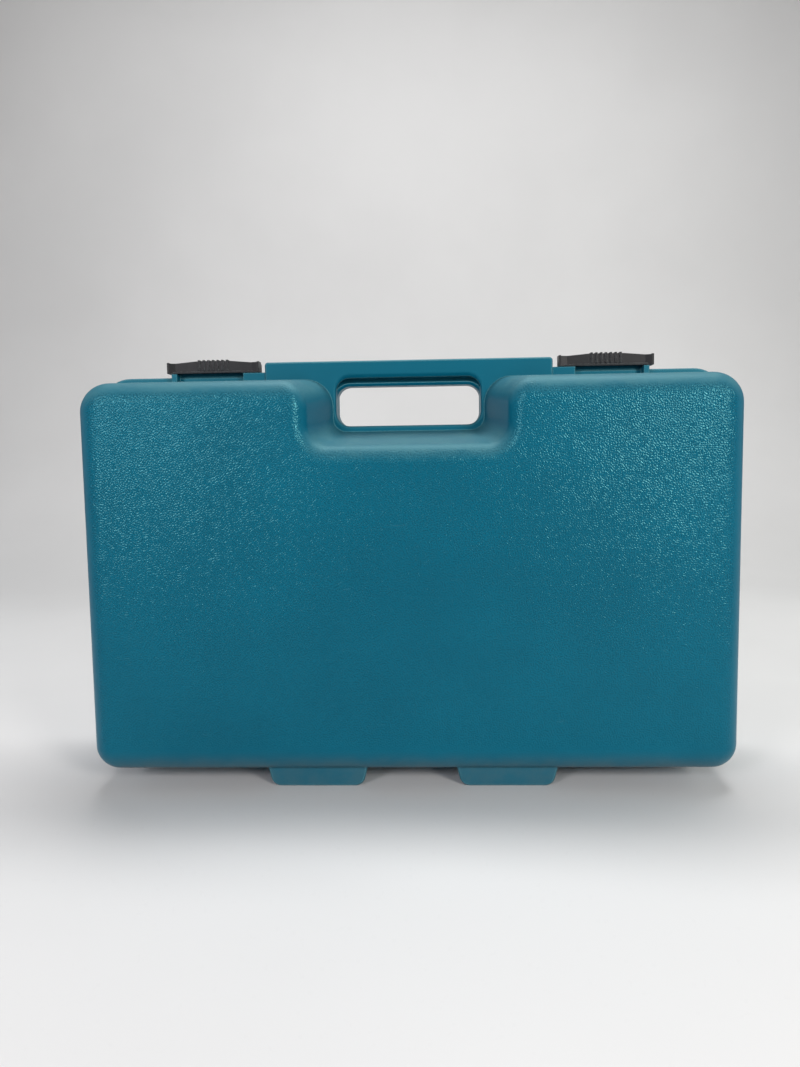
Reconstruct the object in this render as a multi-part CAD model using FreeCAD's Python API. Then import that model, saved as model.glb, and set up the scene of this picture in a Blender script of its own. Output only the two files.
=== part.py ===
"""Hard tool case: two twin-wall moulded halves hinged along the bottom, with two slide latches.

Frame: X runs along the case, Y through its depth and Z up, in millimetres. The case stands on
its feet with the handle up. The origin is on the floor, under the middle of the parting plane.
The near half, the base, lies on the -Y side and carries the latches. The far half is the lid.
"""
import FreeCAD
import Part

import math
import os

Vector = FreeCAD.Vector

# Case body, one half; the two halves are mirror images across the parting plane
case_depth = 62.0
wall_half_width = 231.5
shell_bottom_z = 12.0
shell_top_z = 296.5
side_draft_deg = 1.6
top_draft_deg = 5.5
bottom_draft_deg = 2.5
top_corner_r = 21.0
bottom_corner_r = 18.0
face_edge_r = 15.0
parting_half_gap = 0.2

# Twin wall
skin_wall = 2.4
liner_wall = 2.0
blow_hole_r = 2.5
blow_hole_inset = 8.0

# Rim flange along the parting line
flange_out = 2.9
flange_depth = 3.75
flange_chamfer = 0.8

# Handle block, its finger hole and the recess in front of it
block_half_width = 106.0
block_depth = 13.0
block_rise = 12.0
block_corner_r = 2.5
block_chamfer = 0.9
hole_half_width = 53.4
hole_height = 29.6
hole_corner_r = 10.0
hole_edge_r = 2.0
hole_flare_rise = 8.3
hole_flare_depth = 7.0
grip_height = 18.2
recess_half_width = 56.0
recess_floor_gap = 4.2
recess_floor_r = 10.0
recess_floor_r_growth = 0.1
recess_lip_r = 20.0
recess_side_draft_deg = 18.0
recess_floor_draft_deg = 15.0
recess_edge_r = 13.0

# Feet under each half
foot_inner_x = 32.0
foot_width = 73.0
foot_taper = 3.7
foot_corner_r = 7.6
foot_front_y = 49.5
foot_length = 30.0
foot_chamfer = 1.1

# Hinges: interleaved knuckles round a steel pin
hinge_axis_z = 6.0
knuckle_r = 5.0
knuckle_pitch = 10.0
knuckle_count = 5
knuckle_end_gap = 0.4
knuckle_swing_gap = 0.5
hinge_inset = 93.5
pin_r = 1.6
pin_running_gap = 0.06
pin_end_cover = 2.0
pin_end_gap = 0.1

# Slide latch
latch_block_gap = 4.7
latch_length = 69.0
latch_half_depth = 11.0
latch_bottom_gap = 2.4
latch_height = 7.5
latch_front_wall = 1.6
latch_finger_wall = 2.8
latch_top_wall = 2.0
latch_end_wall = 3.2
latch_end_depth = 8.0
latch_back_taper = 2.2
latch_lip_reach = 3.0
latch_lip_height = 2.0
latch_flare_length = 6.0
latch_end_rise = 0.5
latch_hump_length = 26.0
latch_hump_slope = 15.0
latch_hump_rise = 1.3
latch_travel = 10.0
grip_rib_count = 7
grip_rib_pitch = 3.5
grip_rib_width = 1.5
grip_rib_proud = 0.8
latch_rim_height = 1.3
latch_rim_proud = 0.6

# Latch rail on the base and latch tabs on the lid
rail_gap = 0.4
rail_web = 2.0
rail_head_height = 2.7
rail_end_gap = 0.3
tab_count = 3
tab_pitch = 20.0
tab_width = 8.0
tab_end_inset = 2.0
pad_gap = 0.4
pad_bury = 7.0
ledge_length = 11.9
stub_length = 4.0
stub_inset = 3.3

# Tool nest: pockets in the liners
land_inset = 16.0
land_depth = 5.0
land_middle_drop = 18.0
land_corner_x = 92.0
land_corner_r = 12.0
nest_edge_gap = 9.0
nest_rib = 14.0
nest_corner_r = 14.0
nest_row_height = 76.0
body_pocket_width = 268.0
body_pocket_depth = 48.0
grip_pocket_width = 84.0
grip_pocket_depth = 44.0
bin_pocket_depth = 50.0
tray_pocket_depth = 32.0
charger_pocket_depth = 42.0
lid_pocket_depth = 46.0
lid_tray_depth = 36.0

# Cuts run past the faces they open by this much, and edges are matched to a plane this closely
overrun = 10.0
match_tolerance = 0.02

flange_top_z = shell_top_z + flange_out
block_top_z = shell_top_z + block_rise
hole_top_z = block_top_z - grip_height
hole_bottom_z = hole_top_z - hole_height
recess_floor_z = hole_bottom_z - recess_floor_gap
land_bottom_z = shell_bottom_z + land_inset
land_top_z = shell_top_z - land_inset
land_middle_z = recess_floor_z - land_middle_drop
land_half_width = wall_half_width - land_inset

latch_inner_x = block_half_width + latch_block_gap
latch_outer_x = latch_inner_x + latch_length
latch_middle_x = latch_inner_x + latch_length / 2
latch_bottom_z = flange_top_z + latch_bottom_gap
latch_top_z = latch_bottom_z + latch_height
latch_channel_half = latch_half_depth - latch_finger_wall
latch_waist_half = latch_channel_half + latch_front_wall
rail_head_bottom_z = latch_bottom_z + latch_lip_height + rail_gap
rail_head_top_z = rail_head_bottom_z + rail_head_height
rail_reach = latch_channel_half - rail_gap
rail_start_x = latch_inner_x + latch_end_wall + latch_travel + rail_end_gap
rail_end_x = latch_outer_x - latch_end_wall - rail_end_gap
hinge_length = knuckle_count * knuckle_pitch
hinge_spacing = wall_half_width - hinge_inset
cut_half_width = wall_half_width + flange_out + overrun


def slope(angle_deg):
    return math.tan(math.radians(angle_deg))


def box(x0, x1, y0, y1, z0, z1):
    """Block between two corners."""
    return Part.makeBox(x1 - x0, y1 - y0, z1 - z0, Vector(x0, y0, z0))


def rod(x0, x1, radius):
    """Cylinder on the hinge axis."""
    return Part.makeCylinder(radius, x1 - x0, Vector(x0, 0, hinge_axis_z), Vector(1, 0, 0))


def mirror_x(shape):
    return shape.mirror(Vector(0, 0, 0), Vector(1, 0, 0))


def mirror_y(shape):
    return shape.mirror(Vector(0, 0, 0), Vector(0, 1, 0))


def rounded_outline(x0, x1, z0, z1, bottom_r, top_r, y):
    """Rectangle with rounded corners in the plane at y."""
    s = math.sqrt(0.5)
    corners = [
        (x0, z0, 1, 1, bottom_r),
        (x1, z0, -1, 1, bottom_r),
        (x1, z1, -1, -1, top_r),
        (x0, z1, 1, -1, top_r),
    ]
    ends = []
    for index, (x, z, dx, dz, r) in enumerate(corners):
        along_z = Vector(x, y, z + dz * r)
        along_x = Vector(x + dx * r, y, z)
        middle = Vector(x + dx * r * (1 - s), y, z + dz * r * (1 - s))
        pair = (along_z, along_x) if index in (0, 2) else (along_x, along_z)
        ends.append((pair[0], middle, pair[1]))
    edges = []
    for index, (first, middle, last) in enumerate(ends):
        edges.append(Part.Arc(first, middle, last).toShape())
        following = ends[(index + 1) % len(ends)][0]
        edges.append(Part.makeLine(last, following))
    return Part.Wire(edges)


def slab(outline, depth):
    """Solid swept from an outline towards the base's face."""
    return Part.Face(outline).extrude(Vector(0, -depth, 0))


def edges_at_depth(shape, depth):
    """Edges that lie wholly in the plane at y = -depth."""
    return [
        edge for edge in shape.Edges
        if abs(edge.BoundBox.YMin + depth) < match_tolerance
        and abs(edge.BoundBox.YMax + depth) < match_tolerance
    ]


def mould(inset):
    """One half of the case body as a solid block, its walls and face moved in by inset."""
    outlines = []
    for depth in (0, case_depth - inset):
        half_width = wall_half_width - inset - depth * slope(side_draft_deg)
        bottom = shell_bottom_z + inset + depth * slope(bottom_draft_deg)
        top = shell_top_z - inset - depth * slope(top_draft_deg)
        outlines.append(rounded_outline(
            -half_width, half_width, bottom, top, bottom_corner_r - inset, top_corner_r - inset, -depth))
    solid = Part.makeLoft(outlines, True, True)
    return solid.makeFillet(face_edge_r - inset, edges_at_depth(solid, case_depth - inset))


def flange():
    outline = rounded_outline(
        -wall_half_width - flange_out, wall_half_width + flange_out,
        shell_bottom_z - flange_out, flange_top_z,
        bottom_corner_r + flange_out, top_corner_r + flange_out, 0)
    solid = slab(outline, flange_depth)
    return solid.makeChamfer(flange_chamfer, edges_at_depth(solid, flange_depth))


def recess_outline(depth, grow):
    """Open-topped U in front of the handle, with its upper ends flared out along the case's top."""
    run = depth - block_depth
    half_width = recess_half_width + grow + run * slope(recess_side_draft_deg)
    floor = recess_floor_z - grow - run * slope(recess_floor_draft_deg)
    floor_r = recess_floor_r + grow + run * recess_floor_r_growth
    lip_r = recess_lip_r - grow
    top = shell_top_z - depth * slope(top_draft_deg)
    s = math.sqrt(0.5)
    y = -depth
    roof = shell_top_z + block_rise + overrun

    def side(sign):
        flare = Vector(sign * (half_width + lip_r), y, top)
        flare_middle = Vector(sign * (half_width + lip_r * (1 - s)), y, top - lip_r * (1 - s))
        flare_end = Vector(sign * half_width, y, top - lip_r)
        bend = Vector(sign * half_width, y, floor + floor_r)
        bend_middle = Vector(sign * (half_width - floor_r * (1 - s)), y, floor + floor_r * (1 - s))
        bend_end = Vector(sign * (half_width - floor_r), y, floor)
        corner = Vector(sign * (half_width + lip_r), y, roof)
        return corner, flare, flare_middle, flare_end, bend, bend_middle, bend_end

    left = side(-1)
    right = side(1)
    edges = [
        Part.makeLine(left[0], left[1]),
        Part.Arc(left[1], left[2], left[3]).toShape(),
        Part.makeLine(left[3], left[4]),
        Part.Arc(left[4], left[5], left[6]).toShape(),
        Part.makeLine(left[6], right[6]),
        Part.Arc(right[6], right[5], right[4]).toShape(),
        Part.makeLine(right[4], right[3]),
        Part.Arc(right[3], right[2], right[1]).toShape(),
        Part.makeLine(right[1], right[0]),
        Part.makeLine(right[0], left[0]),
    ]
    return Part.Wire(edges)


def recess(grow):
    """Space in front of the handle block, grown by a wall where a void must stay behind it."""
    outlines = [recess_outline(depth, grow) for depth in (block_depth - grow, case_depth + overrun)]
    return Part.makeLoft(outlines, True, True)


def carved_mould(inset):
    """The half as a block with the handle recess cut in and the recess's front edge rounded."""
    solid = mould(inset).cut(recess(inset))
    front = [
        edge for edge in solid.Edges
        if edge.BoundBox.XMin > -block_half_width and edge.BoundBox.XMax < block_half_width
        and edge.BoundBox.YMax < -block_depth - face_edge_r and edge.BoundBox.ZMin > shell_top_z / 2
    ]
    return solid.makeFillet(recess_edge_r - inset, front)


def hole_outline(top, grow, y):
    return rounded_outline(
        -hole_half_width - grow, hole_half_width + grow, hole_bottom_z - grow, top + grow,
        hole_corner_r + grow, hole_corner_r + grow, y)


def hole(grow):
    """Finger hole through the half, from behind the parting plane to past the block's front."""
    return slab(hole_outline(hole_top_z, grow, overrun), block_depth + 2 * overrun)


def hole_flare():
    """Front part of the finger hole, opened upwards under the grip."""
    rise = hole_flare_rise * (1 + overrun / hole_flare_depth)
    front = hole_outline(hole_top_z + rise, 0, -block_depth - overrun)
    back = hole_outline(hole_top_z, 0, -block_depth + hole_flare_depth)
    return Part.makeLoft([front, back], True, True)


def handle_block():
    bottom = hole_bottom_z - grip_height
    solid = box(-block_half_width, block_half_width, -block_depth, 0, bottom, block_top_z)
    upper = [
        edge for edge in solid.Edges
        if edge.BoundBox.ZMin > block_top_z - match_tolerance and edge.BoundBox.XLength < match_tolerance
    ]
    solid = solid.makeFillet(block_corner_r, upper)
    front = [
        edge for edge in edges_at_depth(solid, block_depth) if edge.BoundBox.ZMax > bottom + block_rise
    ]
    return solid.makeChamfer(block_chamfer, front)


def foot(inset):
    """One foot: a block that narrows to the floor with rounded lower corners."""
    top = shell_bottom_z + case_depth * slope(bottom_draft_deg) + inset
    x0 = foot_inner_x + inset
    x1 = foot_inner_x + foot_width - inset
    points = [
        Vector(x0, -foot_front_y + inset, top),
        Vector(x1, -foot_front_y + inset, top),
        Vector(x1 - foot_taper, -foot_front_y + inset, inset),
        Vector(x0 + foot_taper, -foot_front_y + inset, inset),
    ]
    face = Part.Face(Part.makePolygon(points + [points[0]]))
    solid = face.extrude(Vector(0, foot_length - 2 * inset, 0))
    lower = [
        edge for edge in solid.Edges
        if edge.BoundBox.ZMax < inset + match_tolerance and edge.BoundBox.XLength < match_tolerance
    ]
    solid = solid.makeFillet(foot_corner_r - inset, lower)
    if inset:
        return solid
    front = [
        edge for edge in edges_at_depth(solid, foot_front_y)
        if edge.BoundBox.ZMin < top - foot_chamfer
    ]
    return solid.makeChamfer(foot_chamfer, front)


def pocket(x0, x1, z0, z1, depth, grow):
    """Pocket in a liner with rounded upright corners."""
    outline = rounded_outline(
        x0 - grow, x1 + grow, z0 - grow, z1 + grow,
        nest_corner_r + grow, nest_corner_r + grow, overrun)
    return slab(outline, depth + grow + overrun)


def land(grow):
    """Lowered liner surface inside the rim, kept clear of the handle recess."""
    lower = rounded_outline(
        -land_half_width - grow, land_half_width + grow, land_bottom_z - grow, land_middle_z + grow,
        land_corner_r + grow, land_corner_r + grow, overrun)
    shape = slab(lower, land_depth + grow + overrun)
    for sign in (-1, 1):
        xs = sorted((sign * (land_corner_x - grow), sign * (land_half_width + grow)))
        upper = rounded_outline(
            xs[0], xs[1], land_middle_z - land_corner_r * 2, land_top_z + grow,
            land_corner_r + grow, land_corner_r + grow, overrun)
        shape = shape.fuse(slab(upper, land_depth + grow + overrun))
    return shape


def nest_frame():
    """Pocket limits shared by both liners: left, right, lower row top and upper row bottom."""
    left = -land_half_width + nest_edge_gap
    bottom = land_bottom_z + nest_edge_gap
    top = land_middle_z - nest_edge_gap
    row_top = bottom + nest_row_height
    return left, -left, bottom, row_top, row_top + nest_rib, top


def base_pockets():
    """Name, limits and depth of each pocket in the base's liner."""
    left, right, bottom, row_top, row_bottom, top = nest_frame()
    body_right = left + body_pocket_width
    grip_left = left + (body_pocket_width - grip_pocket_width) / 2
    grip_right = grip_left + grip_pocket_width
    return [
        (left, body_right, row_bottom, top, body_pocket_depth),
        (grip_left, grip_right, bottom, row_bottom + 2 * nest_corner_r, grip_pocket_depth),
        (body_right + nest_rib, right, row_bottom, top, bin_pocket_depth),
        (grip_right + nest_rib, right, bottom, row_top, tray_pocket_depth),
        (left, grip_left - nest_rib, bottom, row_top, charger_pocket_depth),
    ]


def lid_pockets():
    left, right, bottom, row_top, row_bottom, top = nest_frame()
    return [
        (left, right, row_bottom, top, lid_pocket_depth),
        (left, right, bottom, row_top, lid_tray_depth),
    ]


def nest(pockets, grow):
    shape = land(grow)
    for x0, x1, z0, z1, depth in pockets:
        shape = shape.fuse(pocket(x0, x1, z0, z1, depth, grow))
    return shape


def air_gap(pockets):
    """Sealed air space between the skin and the liner."""
    block = box(
        -block_half_width + skin_wall, block_half_width - skin_wall,
        -block_depth + skin_wall, 0, recess_floor_z, block_top_z - skin_wall)
    shape = carved_mould(skin_wall).fuse(block)
    for foot_void in (foot(skin_wall), mirror_x(foot(skin_wall))):
        shape = shape.fuse(foot_void)
    shape = shape.cut(recess(skin_wall))
    shape = shape.cut(hole(skin_wall))
    shape = shape.cut(nest(pockets, liner_wall))
    rim = box(-cut_half_width, cut_half_width, -parting_half_gap - skin_wall, overrun,
              -overrun, block_top_z + overrun)
    return shape.cut(rim)


def knuckle_spans(odd):
    """X limits of the odd or even knuckles of every hinge."""
    spans = []
    for middle in (-hinge_spacing, 0, hinge_spacing):
        start = middle - hinge_length / 2
        for index in range(knuckle_count):
            if (index % 2 == 1) == odd:
                x0 = start + index * knuckle_pitch
                spans.append((x0, x0 + knuckle_pitch))
    return spans


def knuckles(odd):
    """Knuckles of the base's side, each a barrel with an arm up to the flange."""
    shapes = []
    for x0, x1 in knuckle_spans(odd):
        a = x0 + knuckle_end_gap / 2
        b = x1 - knuckle_end_gap / 2
        arm = box(a, b, -knuckle_r, -parting_half_gap, hinge_axis_z, shell_bottom_z + skin_wall / 2)
        shapes.append(rod(a, b, knuckle_r).fuse(arm))
    return shapes


def knuckle_reliefs(odd):
    """Swing room for the other half's knuckles."""
    shapes = []
    for x0, x1 in knuckle_spans(odd):
        a = x0 - knuckle_end_gap / 2
        b = x1 + knuckle_end_gap / 2
        shapes.append(rod(a, b, knuckle_r + knuckle_swing_gap))
    return shapes


def pin_bores():
    shapes = []
    for middle in (-hinge_spacing, 0, hinge_spacing):
        half = hinge_length / 2 - pin_end_cover + pin_end_gap
        shapes.append(rod(middle - half, middle + half, pin_r + pin_running_gap))
    return shapes


def half_body(pockets):
    """One half without its hinge and latch features, on the base's side."""
    outer = carved_mould(0).fuse([flange(), handle_block()])
    outer = outer.fuse([foot(0), mirror_x(foot(0))])
    outer = outer.cut(hole(0)).cut(hole_flare()).removeSplitter()
    rim = [
        edge for edge in edges_at_depth(outer, block_depth)
        if abs(edge.BoundBox.XMin) < hole_half_width + hole_edge_r
        and abs(edge.BoundBox.XMax) < hole_half_width + hole_edge_r
        and edge.BoundBox.ZMin > recess_floor_z + hole_edge_r
        and edge.BoundBox.ZMax < block_top_z - block_corner_r
    ]
    outer = outer.makeFillet(hole_edge_r, rim)
    parting = box(-cut_half_width, cut_half_width, -parting_half_gap, overrun,
                  -overrun, block_top_z + overrun)
    outer = outer.cut(parting)
    blow_hole_start = Vector(wall_half_width - blow_hole_inset, -2 * skin_wall, shell_top_z / 2)
    blow_hole = Part.makeCylinder(blow_hole_r, 2 * skin_wall, blow_hole_start, Vector(0, 1, 0))
    outer = outer.cut(nest(pockets, 0))
    outer = outer.cut(air_gap(pockets))
    return outer.cut(blow_hole)


def rail():
    """Latch rail above the base's flange on the +X side, with the ledge and stub under the latch."""
    web = box(rail_start_x, rail_end_x, -rail_web - parting_half_gap, -parting_half_gap,
              shell_top_z, rail_head_top_z)
    head = box(rail_start_x, rail_end_x, -rail_reach, -parting_half_gap,
               rail_head_bottom_z, rail_head_top_z)
    pad_top = latch_bottom_z - pad_gap
    pad_bottom = shell_top_z - pad_bury
    ledge_x = latch_inner_x + ledge_length
    ledge = box(block_half_width - latch_block_gap, ledge_x, -latch_half_depth, -parting_half_gap,
                shell_top_z, pad_top)
    ledge_root = box(block_half_width, ledge_x, -latch_half_depth, -flange_depth,
                     pad_bottom + skin_wall, pad_top)
    stub_x = latch_outer_x - stub_inset
    stub = box(stub_x - stub_length, stub_x, -latch_half_depth, -flange_depth / 2,
               pad_bottom + skin_wall, pad_top)
    return web.fuse([head, ledge, ledge_root, stub])


def tab_centres():
    first = rail_start_x + tab_end_inset + tab_width / 2
    return [first + index * tab_pitch for index in range(tab_count)]


def tabs():
    """Latch tabs of the far half, drawn on the base's side and mirrored with it."""
    shapes = []
    for centre in tab_centres():
        x0 = centre - tab_width / 2
        x1 = centre + tab_width / 2
        web = box(x0, x1, -rail_web - parting_half_gap, -parting_half_gap, shell_top_z, rail_head_top_z)
        head = box(x0, x1, -rail_reach, -parting_half_gap, rail_head_bottom_z, rail_head_top_z)
        shapes.append(web.fuse(head))
    return shapes


def base_shell():
    shape = half_body(base_pockets())
    shape = shape.cut(knuckle_reliefs(True))
    shape = shape.fuse(knuckles(False))
    shape = shape.fuse([rail(), mirror_x(rail())])
    return shape.cut(pin_bores()).removeSplitter()


def lid_shell():
    shape = half_body(lid_pockets())
    shape = shape.cut(knuckle_reliefs(False))
    shape = shape.fuse(knuckles(True))
    shape = shape.fuse(tabs() + [mirror_x(tab) for tab in tabs()])
    return mirror_y(shape.cut(pin_bores()).removeSplitter())


def hinge_pin(middle):
    half = hinge_length / 2 - pin_end_cover
    return rod(middle - half, middle + half, pin_r)


def latch_body():
    """Outside of the latch seen from above, waisted between flared ends and narrowed at the back."""
    waist = latch_waist_half
    half = latch_length / 2
    back_half = half - latch_back_taper
    turn = latch_end_depth - latch_half_depth
    plan = [
        (-half, -latch_half_depth),
        (-half + latch_end_wall / 2, -latch_half_depth),
        (-half + latch_flare_length, -waist),
        (half - latch_flare_length, -waist),
        (half - latch_end_wall / 2, -latch_half_depth),
        (half, -latch_half_depth),
        (half, turn),
        (back_half, latch_half_depth),
        (-back_half, latch_half_depth),
        (-half, turn),
    ]
    points = [Vector(latch_middle_x + x, y, latch_bottom_z) for x, y in plan]
    face = Part.Face(Part.makePolygon(points + [points[0]]))
    return face.extrude(Vector(0, 0, latch_height))


def latch_hump():
    """Raised middle of the latch's top, sloped down at both ends."""
    half = latch_hump_length / 2
    waist = latch_waist_half
    outline = [
        (-half - latch_hump_slope, 0),
        (-half, latch_hump_rise),
        (half, latch_hump_rise),
        (half + latch_hump_slope, 0),
    ]
    points = [Vector(latch_middle_x + x, -waist, latch_top_z + z) for x, z in outline]
    lower = [Vector(points[3].x, -waist, latch_top_z - latch_hump_rise),
             Vector(points[0].x, -waist, latch_top_z - latch_hump_rise)]
    face = Part.Face(Part.makePolygon(points + lower + [points[0]]))
    return face.extrude(Vector(0, waist + latch_half_depth, 0))


def latch_ribs():
    """Finger ribs over the front and top of the latch."""
    shapes = []
    waist = latch_waist_half
    for index in range(grip_rib_count):
        x = latch_middle_x + (index - (grip_rib_count - 1) / 2) * grip_rib_pitch
        front = box(x - grip_rib_width / 2, x + grip_rib_width / 2,
                    -waist - grip_rib_proud, -waist + latch_front_wall / 2,
                    latch_bottom_z + latch_lip_height, latch_top_z + latch_hump_rise + grip_rib_proud)
        top = box(x - grip_rib_width / 2, x + grip_rib_width / 2,
                  -waist, latch_channel_half,
                  latch_top_z, latch_top_z + latch_hump_rise + grip_rib_proud)
        shapes.append(front.fuse(top))
    return shapes


def latch():
    """Slide latch on the +X side, in its unlocked place next to the handle block."""
    channel_x0 = latch_inner_x + latch_end_wall
    channel_x1 = latch_outer_x - latch_end_wall
    lip_y = latch_channel_half - latch_lip_reach
    lip_top = latch_bottom_z + latch_lip_height
    ceiling = latch_top_z - latch_top_wall
    end_caps = [
        box(x0, x0 + latch_end_wall / 2, -latch_half_depth, latch_end_depth - latch_half_depth,
            latch_bottom_z, latch_top_z + latch_end_rise)
        for x0 in (latch_inner_x, latch_outer_x - latch_end_wall / 2)
    ]
    lower_rim = box(latch_inner_x, latch_outer_x, -latch_waist_half - latch_rim_proud,
                    -latch_waist_half + latch_front_wall / 2, latch_bottom_z,
                    latch_bottom_z + latch_rim_height)
    shape = latch_body().fuse([latch_hump(), lower_rim] + end_caps + latch_ribs())
    channel = box(channel_x0, channel_x1, -latch_channel_half, latch_half_depth + overrun,
                  lip_top, ceiling)
    shape = shape.cut(channel)
    slot = box(channel_x0, channel_x1, -lip_y, latch_half_depth + overrun,
               latch_bottom_z - overrun, ceiling)
    shape = shape.cut(slot)
    fingers = []
    for centre in tab_centres():
        x0 = centre - latch_travel - tab_width / 2
        x1 = x0 + tab_width
        wall = box(x0, x1, latch_channel_half, latch_half_depth, latch_bottom_z, ceiling)
        lip = box(x0, x1, lip_y, latch_channel_half, latch_bottom_z, lip_top)
        fingers.append(wall.fuse(lip))
    return shape.fuse(fingers).removeSplitter()


def export(node, shape):
    shape.exportStep(os.path.join("parts", node + ".step"))
    print(node, len(shape.Solids), shape.isValid(), round(shape.Volume / 1000, 1))


def main():
    os.makedirs("parts", exist_ok=True)
    export("base_shell", base_shell())
    export("lid_shell", lid_shell())
    export("latch_right", latch())
    export("latch_left", mirror_x(latch()))
    for name, middle in (("left", -hinge_spacing), ("middle", 0), ("right", hinge_spacing)):
        export("hinge_pin_" + name, hinge_pin(middle))


main()
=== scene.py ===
"""Looks of the hard tool case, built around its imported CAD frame.

The case is two moulded shells of grained teal polyethylene with a nest inside, two charcoal slide
latches and three steel hinge pins. All lengths are in metres, in the frame of the CAD part: X runs
along the case, Y away from the camera and Z up.
"""

import math

import bpy
from mathutils import Matrix, Vector

# CAD nodes. The number of a shell is the sign of Y on its outer side.
SHELL_BODIES = {"base_shell": -1, "lid_shell": 1}
LATCHES = ("latch_left", "latch_right")
PINS = ("hinge_pin_left", "hinge_pin_middle", "hinge_pin_right")

# Colours, in linear light
TEAL_DEEP = (0.0002, 0.091, 0.153, 1)
TEAL_FULL = (0.0003, 0.106, 0.175, 1)
# Painted shade in the valleys of the grain
TEAL_VALLEY_SHADE = (0.0001, 0.045, 0.08, 1)
# Painted highlight along the shells' edges
TEAL_EDGE_HIGHLIGHT = (0.13, 0.33, 0.37, 1)
TEAL_RUBBED = (0.12, 0.26, 0.3, 1)
# Dust on upward faces, together with a painted sheen of the light from above
TEAL_DUST_AND_SHEEN = (0.11, 0.26, 0.27, 1)
TEAL_SCUFFED = (0.07, 0.13, 0.155, 1)
TEAL_SHINE = (0.35, 1.0, 1.0, 1)
CHARCOAL_DARK = (0.006, 0.007, 0.009, 1)
CHARCOAL_LIGHT = (0.013, 0.014, 0.016, 1)
# Charcoal edges painted paler: partly wear, partly painted highlight
CHARCOAL_EDGE_WEAR_AND_HIGHLIGHT = (0.15, 0.17, 0.175, 1)
STEEL_BRIGHT = (0.62, 0.61, 0.59, 1)
STEEL_STAINED = (0.38, 0.36, 0.33, 1)
FLOOR_DARK = (0.68, 0.68, 0.68, 1)
FLOOR_LIGHT = (0.74, 0.74, 0.74, 1)
ROOM_COLOR = (0.99, 1.0, 0.99, 1)

# Noise textures: scale, detail and roughness
WARP_NOISE = (300, 2.0, 0.5)
CLOUD_NOISE = (9, 4.0, 0.6)
SPECK_NOISE = (1400, 2.0, 0.7)
PATCH_NOISE = (60, 6.0, 0.7)
STREAK_NOISE = (40, 5.0, 0.65)
CHIP_NOISE = (500, 4.0, 0.65)
MOTTLE_NOISE = (120, 5.0, 0.6)
FINE_NOISE = (2600, 2.0, 0.5)
DRAWN_NOISE = (4000, 3.0, 0.7)
STAIN_NOISE = (220, 4.0, 0.6)
FLOOR_NOISE = (1.5, 4.0, 0.5)

# Values of two or four numbers from here to the floor are fades. A fade is a smooth step between the
# first two numbers. It goes from 0 to 1, or from the third number to the fourth.
MIDDLE = (0.3, 0.7)

# Grain of the broad faces
HALF = 0.5
WARP_REACH = 0.0012
WRINKLE_SCALE = 330
WRINKLE_FREQUENCY = 1.8
WRINKLE_ANISOTROPY = 0.25
WRINKLE_LEAN_ALONG_X = (-0.15, 0.15, math.radians(95), math.radians(45))
WRINKLE_CLEAR = (0.0, 0.3)
WRINKLE_HEIGHT = 0.00016
FACE_TURN = (0.82, 0.97)
FACE_DEPTH = (0.051, 0.055)
FOOT_FADE_UP_Z = (0.022, 0.045, 0.25, 1.0)
MOUTH_ABOVE_Z = (0.228, 0.24)
MOUTH_WITHIN_X = (0.095, 0.085)
MOUTH_TURN = (0.6, 0.95)
CORNER_PAST_X = (0.03, 0.2)
CORNER_ABOVE_Z = (0.06, 0.27)
RELIEF_IN_MIDDLE = 0.72
RELIEF_GAIN_AT_CORNERS = 0.28

# Wear and dust of the shells, with a painted sheen on upward faces, painted shade in the grain valleys and
# painted highlights on the edges
DUST_AND_SHEEN_ON_UPWARD = (0.03, 0.65)
DUST_AND_SHEEN_PATCHES = (0.25, 0.75, 0.18, 0.4)
OUTER_SIDE = (0.0005, 0.004)
SCUFF_BELOW_Z = (0.032, 0.017)
SCUFF_DEPTH = (0.035, 0.055)
SCUFF_PATCHES = (0.2, 0.7, 0.2, 0.6)
STREAK_STRETCH = (1, 1, 6)
STREAK_PATCHES = (0.66, 0.8)
STREAK_SHARE = 0.16
VALLEY_SHADE_BELOW = (0.5, 0.0)
VALLEY_SHADE_SHARE = 0.7
CASE_BEVEL = {"radius": 0.0013, "samples": 4}
CASE_EDGE_TURN = (0.985, 0.9)
CASE_EDGE_PATCHES = (0.3, 0.6, 0.4, 1.0)
CASE_EDGE_SHARE = 0.85

# Gloss of the shells
CASE_ROUGHNESS_BY_GRAIN = (0.0, 1.0, 0.36, 0.22)
SPECK_ROUGHNESS = 0.06
DUST_AND_SHEEN_ROUGHNESS = 0.5
CASE_IOR = 1.5
CASE_SPECULAR = 0.36

# Latches
LATCH_BEVEL = {"radius": 0.0006, "samples": 6}
LATCH_EDGE_TURN = (0.995, 0.93)
LATCH_CHIPS = (0.35, 0.6)
LATCH_EDGE_SHARE = 0.7
LATCH_ROUGHNESS = (0.2, 0.8, 0.36, 0.5)
LATCH_SPECULAR = 0.25
LATCH_GRAIN_HEIGHT = 0.00006
LATCH_GRAIN_STRENGTH = 0.6

# Hinge pins
DRAWN_STRETCH = (0.04, 1, 1)
DRAWN_HEIGHT = 0.00003
DRAWN_STRENGTH = 0.5
STAIN_PATCHES = (0.45, 0.75)
STEEL_ROUGHNESS = (0.3, 0.7, 0.22, 0.4)

# Floor and wall in one sheet
SWEEP_FRONT_Y = -3.0
SWEEP_BACK_Y = 1.5
SWEEP_RADIUS = 0.7
SWEEP_RISE = 2.6
SWEEP_HALF_WIDTH = 3.2
SWEEP_STEPS = 24
FLOOR_ROUGHNESS = 0.7
UNDER_REACH = 0.4
UNDER_SAMPLES = 16
UNDER_FADE = (1.0, 0.9)

# Strength of the room as a light, and as it is seen
ROOM_LIGHT = 0.07
ROOM_SEEN = 0.6

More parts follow.
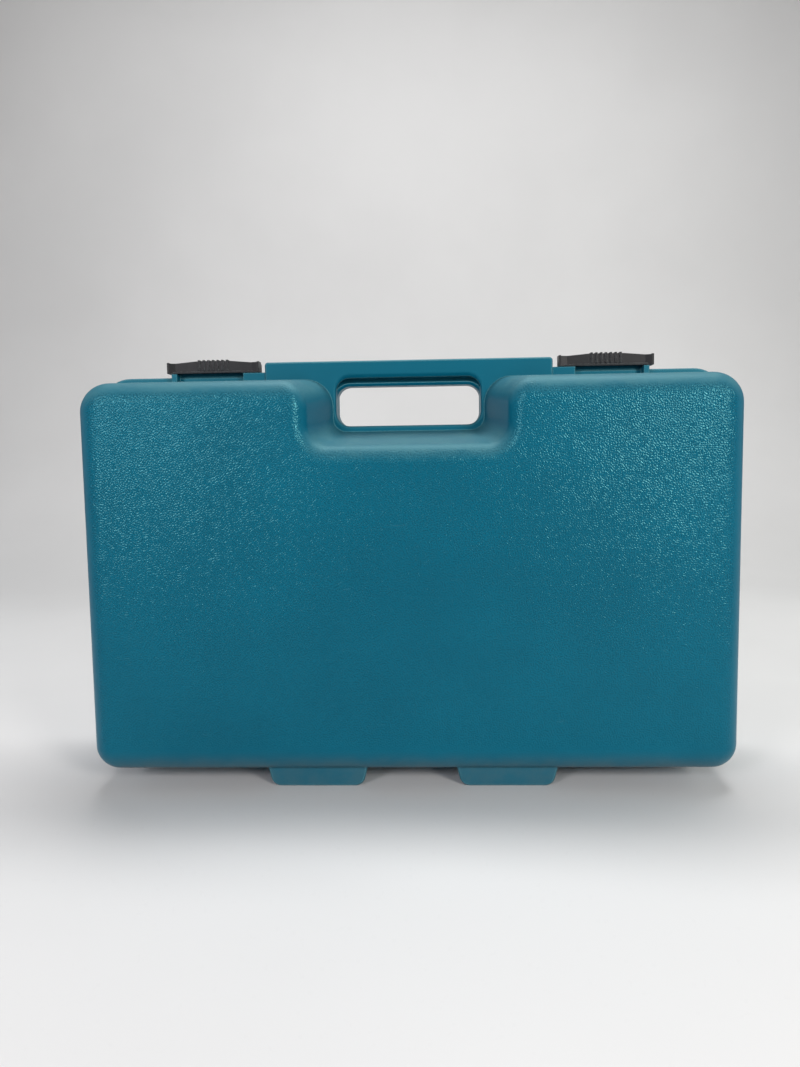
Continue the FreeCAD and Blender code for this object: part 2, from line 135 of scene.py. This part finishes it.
# Lamps: sizes in metres, power in watts
WHITE = (1, 1, 1)
CASE_UPPER_PART = (0, 0, 0.2)
CASE_MIDDLE = (0, 0, 0.15)
CASE_FOOT = (0, 0, 0)
WALL_ABOVE_CASE = (0.3, 1.5, 1.6)
LAMPS = {
    "left_lamp": {"place": (-0.8, -1.35, 0.68), "aim": CASE_UPPER_PART, "size": (0.34, 0.34),
                  "power": 8.5, "color": (1.0, 0.93, 0.97)},
    "right_lamp": {"place": (0.9, -1.3, 0.66), "aim": CASE_UPPER_PART, "size": (0.38, 0.38),
                   "power": 13, "color": (1.0, 0.96, 0.92)},
    "front_lamp": {"place": (0, -1.6, 1.0), "aim": CASE_MIDDLE, "size": (1.6, 0.5),
                   "power": 3, "color": WHITE},
    "top_lamp": {"place": (0.1, 0.4, 1.9), "aim": CASE_FOOT, "size": (1.4, 0.5),
                 "power": 25, "color": WHITE},
    "left_side_lamp": {"place": (-1.5, 0.1, 0.7), "aim": CASE_MIDDLE, "size": (1.0, 1.0),
                       "power": 3, "color": (0.9, 0.96, 1.0)},
    "right_side_lamp": {"place": (1.5, 0.1, 0.7), "aim": CASE_MIDDLE, "size": (1.0, 1.0),
                        "power": 5, "color": (0.96, 1.0, 0.94)},
    "wall_lamp": {"place": (0.5, 0.4, 2.2), "aim": WALL_ABOVE_CASE, "size": (1.2, 0.8),
                  "power": 1.2, "color": WHITE},
}

# Lamps that gloss doesn't show
LAMPS_NOT_MIRRORED = ("left_side_lamp", "right_side_lamp")

# Camera fitted to the photograph: angles in radians, focal length and frame height in its pixels
CAMERA_PLACE = (0.014438, -0.61043, 0.23381)
CAMERA_YAW = -0.0369
CAMERA_PITCH = 0.0893
CAMERA_ROLL = 0.0153
FOCAL_PIXELS = 801.0
FRAME_HEIGHT = 1067
SENSOR_MILLIMETRES = 36
NEAREST_SEEN = 0.01
FARTHEST_SEEN = 20


# Node helpers
class Nodes:
    """Short way to add shader nodes to one material."""

    def __init__(self, name):
        self.material = bpy.data.materials.new(name)
        self.material.use_nodes = True
        self.tree = self.material.node_tree
        self.tree.nodes.clear()
        self.output = self.tree.nodes.new("ShaderNodeOutputMaterial")

    def add(self, kind, inputs=None, **settings):
        """New node with these settings, and with inputs filled by their name or number."""
        node = self.tree.nodes.new("ShaderNode" + kind)
        for key, value in settings.items():
            setattr(node, key, value)
        for key, value in (inputs or {}).items():
            self.feed(node.inputs[key], value)
        return node

    def feed(self, socket, value):
        """Link an output to the socket, or set the socket to a value."""
        if isinstance(value, bpy.types.NodeSocket):
            self.tree.links.new(value, socket)
        else:
            socket.default_value = value

    def calc(self, operation, *values):
        """Result of one Math node on numbers or outputs."""
        return self.add("Math", dict(enumerate(values)), operation=operation).outputs[0]

    def times(self, first, *others):
        """Product of two or more values."""
        for other in others:
            first = self.calc("MULTIPLY", first, other)
        return first

    def fade(self, value, start, end, at_start=0.0, at_end=1.0):
        """Smooth step of the value from start to end."""
        inputs = dict(enumerate((value, start, end, at_start, at_end)))
        return self.add("MapRange", inputs, interpolation_type="SMOOTHSTEP").outputs[0]

    def mix(self, factor, a, b):
        """Colour a where the factor is 0 and b where it is 1."""
        return self.add("Mix", {0: factor, 6: a, 7: b}, data_type="RGBA", blend_type="MIX").outputs[2]

    def axes(self, vector):
        return self.add("SeparateXYZ", {0: vector}).outputs

    def stretched(self, vector, scale):
        return self.add("Mapping", {"Vector": vector, "Scale": scale}).outputs[0]

    def noise(self, vector, scale, detail, roughness, output="Fac"):
        inputs = {"Vector": vector, "Scale": scale, "Detail": detail, "Roughness": roughness}
        return self.add("TexNoise", inputs).outputs[output]

    def bevel(self, radius, samples):
        """Normal rounded over the edges."""
        return self.add("Bevel", {"Radius": radius}, samples=samples).outputs[0]

    def edges(self, rounded, turn):
        """Towards 1 where the rounded normal leaves the true one, so at the edges."""
        true_normal = self.add("NewGeometry").outputs["Normal"]
        along = self.add("VectorMath", {0: rounded, 1: true_normal}, operation="DOT_PRODUCT")
        return self.fade(along.outputs["Value"], *turn)

    def bump(self, height, distance, strength, normal=None):
        inputs = {"Distance": distance, "Strength": strength, "Height": height}
        if normal is not None:
            inputs["Normal"] = normal
        return self.add("Bump", inputs).outputs[0]

    def principled(self, inputs):
        return self.add("BsdfPrincipled", inputs).outputs[0]

    def finish(self, shader):
        """Material that shows this shader."""
        self.feed(self.output.inputs[0], shader)
        return self.material


# Shells
def wrinkle_height(n, where, x):
    """Height from 0 to 1 of short wrinkles that turn from one end of the case to the other."""
    drift = n.noise(where, *WARP_NOISE, output="Color")
    reach = (WARP_REACH, WARP_REACH, WARP_REACH)
    warped = n.add("VectorMath", {0: drift, 1: reach, 2: where}, operation="MULTIPLY_ADD").outputs[0]
    warped_x, _, warped_z = n.axes(warped)
    wave = n.add("TexGabor", {
        "Vector": n.add("CombineXYZ", {0: warped_x, 1: warped_z}).outputs[0],
        "Scale": WRINKLE_SCALE,
        "Frequency": WRINKLE_FREQUENCY,
        "Anisotropy": WRINKLE_ANISOTROPY,
        "Orientation": n.fade(x, *WRINKLE_LEAN_ALONG_X),
    }, gabor_type="2D").outputs
    swing = n.calc("SINE", n.times(wave["Phase"], math.tau))
    swing = n.times(swing, n.fade(wave["Intensity"], *WRINKLE_CLEAR))
    # A swing from -1 to 1 becomes a height from 0 to 1
    return n.calc("MULTIPLY_ADD", swing, HALF, HALF)


def grained_area(n, x, z, outward, depth):
    """1 on the broad face and on the rounded mouth of the handle recess, fading at the foot."""
    in_mouth = n.times(n.fade(z, *MOUTH_ABOVE_Z), n.fade(n.calc("ABSOLUTE", x), *MOUTH_WITHIN_X))
    mouth = n.times(in_mouth, n.fade(outward, *MOUTH_TURN))
    face = n.calc("MAXIMUM", n.fade(outward, *FACE_TURN), mouth)
    return n.times(face, n.fade(depth, *FACE_DEPTH), n.fade(z, *FOOT_FADE_UP_Z))


def grain_strength(n, x, z):
    """Less relief in the worn middle than at the upper corners."""
    corner = n.times(n.fade(n.calc("ABSOLUTE", x), *CORNER_PAST_X), n.fade(z, *CORNER_ABOVE_Z))
    return n.calc("MULTIPLY_ADD", corner, RELIEF_GAIN_AT_CORNERS, RELIEF_IN_MIDDLE)


def case_plastic(name, side):
    """Teal polyethylene: leather-like grain on the broad face, smooth round it, with dust and a painted
    sheen on upward faces, painted shade in the grain valleys and painted highlights on the edges.
    """
    n = Nodes(name)
    coords = n.add("TexCoord").outputs
    where = coords["Object"]
    x, y, z = n.axes(where)
    facing = n.axes(coords["Normal"])
    outward = n.times(facing[1], side)
    depth = n.times(y, side)
    specks = n.noise(where, *SPECK_NOISE)
    patches = n.noise(where, *PATCH_NOISE)
    streaks = n.noise(n.stretched(where, STREAK_STRETCH), *STREAK_NOISE)

    wrinkles = wrinkle_height(n, where, x)
    grained = grained_area(n, x, z, outward, depth)
    relief = n.times(grained, grain_strength(n, x, z))
    rounded = n.bevel(**CASE_BEVEL)

    # Dust on upward outer faces, with a painted sheen where light from above falls on them
    dust_and_sheen = n.times(n.fade(facing[2], *DUST_AND_SHEEN_ON_UPWARD), n.fade(patches, *DUST_AND_SHEEN_PATCHES),
                   n.fade(depth, *OUTER_SIDE))
    scuffs = n.times(n.fade(z, *SCUFF_BELOW_Z), n.fade(depth, *SCUFF_DEPTH), n.fade(patches, *SCUFF_PATCHES))
    rubbed = n.times(n.fade(streaks, *STREAK_PATCHES), STREAK_SHARE)
    # Painted shade in the valleys of the wrinkles, deeper where the relief is stronger
    valley_shade = n.times(n.fade(wrinkles, *VALLEY_SHADE_BELOW), relief, VALLEY_SHADE_SHARE)
    # Painted highlight along the edges, broken in patches
    edges = n.times(n.edges(rounded, CASE_EDGE_TURN), n.fade(specks, *CASE_EDGE_PATCHES), CASE_EDGE_SHARE)
    color = n.mix(n.fade(n.noise(where, *CLOUD_NOISE), *MIDDLE), TEAL_DEEP, TEAL_FULL)
    color = n.mix(dust_and_sheen, color, TEAL_DUST_AND_SHEEN)
    color = n.mix(scuffs, color, TEAL_SCUFFED)
    color = n.mix(rubbed, color, TEAL_RUBBED)
    color = n.mix(valley_shade, color, TEAL_VALLEY_SHADE)
    color = n.mix(edges, color, TEAL_EDGE_HIGHLIGHT)

    roughness = n.calc("MULTIPLY_ADD", n.fade(specks, *MIDDLE), SPECK_ROUGHNESS,
                       n.fade(grained, *CASE_ROUGHNESS_BY_GRAIN))
    return n.finish(n.principled({
        "Base Color": color,
        "Roughness": n.calc("MULTIPLY_ADD", dust_and_sheen, DUST_AND_SHEEN_ROUGHNESS, roughness),
        "IOR": CASE_IOR,
        "Specular IOR Level": CASE_SPECULAR,
        "Specular Tint": TEAL_SHINE,
        "Normal": n.bump(wrinkles, WRINKLE_HEIGHT, relief, rounded),
    }))


# Latches and pins
def latch_plastic():
    """Charcoal satin plastic with edges painted paler, partly as wear and partly as a painted highlight."""
    n = Nodes("latch_charcoal")
    where = n.add("TexCoord").outputs["Object"]
    rounded = n.bevel(**LATCH_BEVEL)
    chips = n.fade(n.noise(where, *CHIP_NOISE), *LATCH_CHIPS)
    # Edges painted paler: chipped wear together with a painted highlight
    edges = n.times(n.edges(rounded, LATCH_EDGE_TURN), chips, LATCH_EDGE_SHARE)
    mottled = n.noise(where, *MOTTLE_NOISE)
    color = n.mix(n.fade(mottled, *MIDDLE), CHARCOAL_DARK, CHARCOAL_LIGHT)
    return n.finish(n.principled({
        "Base Color": n.mix(edges, color, CHARCOAL_EDGE_WEAR_AND_HIGHLIGHT),
        "Roughness": n.fade(mottled, *LATCH_ROUGHNESS),
        "Specular IOR Level": LATCH_SPECULAR,
        "Normal": n.bump(n.noise(where, *FINE_NOISE), LATCH_GRAIN_HEIGHT, LATCH_GRAIN_STRENGTH, rounded),
    }))


def pin_steel():
    """Drawn steel rod with fine lines along it."""
    n = Nodes("drawn_steel")
    where = n.add("TexCoord").outputs["Object"]
    lines = n.noise(n.stretched(where, DRAWN_STRETCH), *DRAWN_NOISE)
    stains = n.fade(n.noise(where, *STAIN_NOISE), *STAIN_PATCHES)
    return n.finish(n.principled({
        "Metallic": 1.0,
        "Base Color": n.mix(stains, STEEL_BRIGHT, STEEL_STAINED),
        "Roughness": n.fade(lines, *STEEL_ROUGHNESS),
        "Normal": n.bump(lines, DRAWN_HEIGHT, DRAWN_STRENGTH),
    }))


def dress(node, material):
    """Give every face of a CAD node the material."""
    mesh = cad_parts[node].data
    mesh.materials.clear()
    mesh.materials.append(material)
    for polygon in mesh.polygons:
        polygon.material_index = 0


# Stage
def sweep_paint():
    """Pale grey, and clear where a piece lies close beneath it: the open lid swings below the floor."""
    n = Nodes("pale_sweep")
    clouds = n.noise(n.add("TexCoord").outputs["Object"], *FLOOR_NOISE)
    color = n.mix(n.fade(clouds, *MIDDLE), FLOOR_DARK, FLOOR_LIGHT)
    paint = n.principled({"Base Color": color, "Roughness": FLOOR_ROUGHNESS})
    under = n.add("AmbientOcclusion", {"Distance": UNDER_REACH}, samples=UNDER_SAMPLES, inside=True)
    clear = n.add("BsdfTransparent").outputs[0]
    covered = n.fade(under.outputs["AO"], *UNDER_FADE)
    return n.finish(n.add("MixShader", {0: covered, 1: paint, 2: clear}).outputs[0])


def sweep():
    """Floor that curves up into the wall behind the case."""
    profile = [(SWEEP_FRONT_Y, 0.0)]
    for step in range(SWEEP_STEPS + 1):
        angle = math.pi / 2 * step / SWEEP_STEPS
        y = SWEEP_BACK_Y - SWEEP_RADIUS + SWEEP_RADIUS * math.sin(angle)
        z = SWEEP_RADIUS - SWEEP_RADIUS * math.cos(angle)
        profile.append((y, z))
    profile.append((SWEEP_BACK_Y, SWEEP_RISE))
    verts = [(x, y, z) for y, z in profile for x in (-SWEEP_HALF_WIDTH, SWEEP_HALF_WIDTH)]
    faces = [(2 * i, 2 * i + 1, 2 * i + 3, 2 * i + 2) for i in range(len(profile) - 1)]
    mesh = bpy.data.meshes.new("sweep")
    mesh.from_pydata(verts, [], faces)
    mesh.shade_smooth()
    mesh.materials.append(sweep_paint())
    floor = bpy.data.objects.new("sweep", mesh)
    floor.visible_shadow = False
    bpy.context.scene.collection.objects.link(floor)


def surroundings():
    """Dim room that looks pale where it is seen directly or in a reflection."""
    world = bpy.data.worlds.new("studio")
    bpy.context.scene.world = world
    world.use_nodes = True
    tree = world.node_tree
    background = tree.nodes["Background"]
    rays = tree.nodes.new("ShaderNodeLightPath")
    seen = rays.outputs["Is Camera Ray"]
    for kind in ("Is Glossy Ray", "Is Transmission Ray"):
        both = tree.nodes.new("ShaderNodeMath")
        both.operation = "MAXIMUM"
        tree.links.new(seen, both.inputs[0])
        tree.links.new(rays.outputs[kind], both.inputs[1])
        seen = both.outputs[0]
    strength = tree.nodes.new("ShaderNodeMapRange")
    tree.links.new(seen, strength.inputs["Value"])
    strength.inputs["To Min"].default_value = ROOM_LIGHT
    strength.inputs["To Max"].default_value = ROOM_SEEN
    tree.links.new(strength.outputs["Result"], background.inputs["Strength"])
    background.inputs["Color"].default_value = ROOM_COLOR


def area_light(name, place, aim, size, power, color):
    data = bpy.data.lights.new(name, "AREA")
    data.shape = "RECTANGLE"
    data.size = size[0]
    data.size_y = size[1]
    data.energy = power
    data.color = color
    lamp = bpy.data.objects.new(name, data)
    lamp.location = place
    lamp.rotation_euler = (Vector(aim) - Vector(place)).to_track_quat("-Z", "Y").to_euler()
    lamp.visible_glossy = name not in LAMPS_NOT_MIRRORED
    bpy.context.scene.collection.objects.link(lamp)


def camera():
    """Camera that sees the case as the photograph does."""
    ahead = Vector((math.sin(CAMERA_YAW) * math.cos(CAMERA_PITCH),
                    math.cos(CAMERA_YAW) * math.cos(CAMERA_PITCH),
                    -math.sin(CAMERA_PITCH)))
    level = Vector((math.cos(CAMERA_YAW), -math.sin(CAMERA_YAW), 0))
    over = Vector((math.sin(CAMERA_YAW) * math.sin(CAMERA_PITCH),
                   math.cos(CAMERA_YAW) * math.sin(CAMERA_PITCH),
                   math.cos(CAMERA_PITCH)))
    right = math.cos(CAMERA_ROLL) * level - math.sin(CAMERA_ROLL) * over
    top = math.sin(CAMERA_ROLL) * level + math.cos(CAMERA_ROLL) * over
    data = bpy.data.cameras.new("photo_camera")
    data.sensor_width = SENSOR_MILLIMETRES
    data.lens = FOCAL_PIXELS / FRAME_HEIGHT * SENSOR_MILLIMETRES
    data.clip_start = NEAREST_SEEN
    data.clip_end = FARTHEST_SEEN
    eye = bpy.data.objects.new("photo_camera", data)
    turn = Matrix((right, top, -ahead)).transposed()
    eye.matrix_world = Matrix.Translation(CAMERA_PLACE) @ turn.to_4x4()
    bpy.context.scene.collection.objects.link(eye)
    bpy.context.scene.camera = eye


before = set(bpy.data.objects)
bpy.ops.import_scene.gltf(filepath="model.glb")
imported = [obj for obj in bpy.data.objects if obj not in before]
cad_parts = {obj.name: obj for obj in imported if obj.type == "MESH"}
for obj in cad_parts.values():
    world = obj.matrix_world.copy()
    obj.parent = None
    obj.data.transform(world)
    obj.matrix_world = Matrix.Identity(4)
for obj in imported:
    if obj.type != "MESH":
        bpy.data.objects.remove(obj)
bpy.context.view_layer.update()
for node, side in SHELL_BODIES.items():
    dress(node, case_plastic(node + "_teal", side))
charcoal = latch_plastic()
for node in LATCHES:
    dress(node, charcoal)
steel = pin_steel()
for node in PINS:
    dress(node, steel)
sweep()
surroundings()
for name, lamp in LAMPS.items():
    area_light(name, **lamp)
camera()
bpy.context.scene.view_settings.view_transform = "Standard"
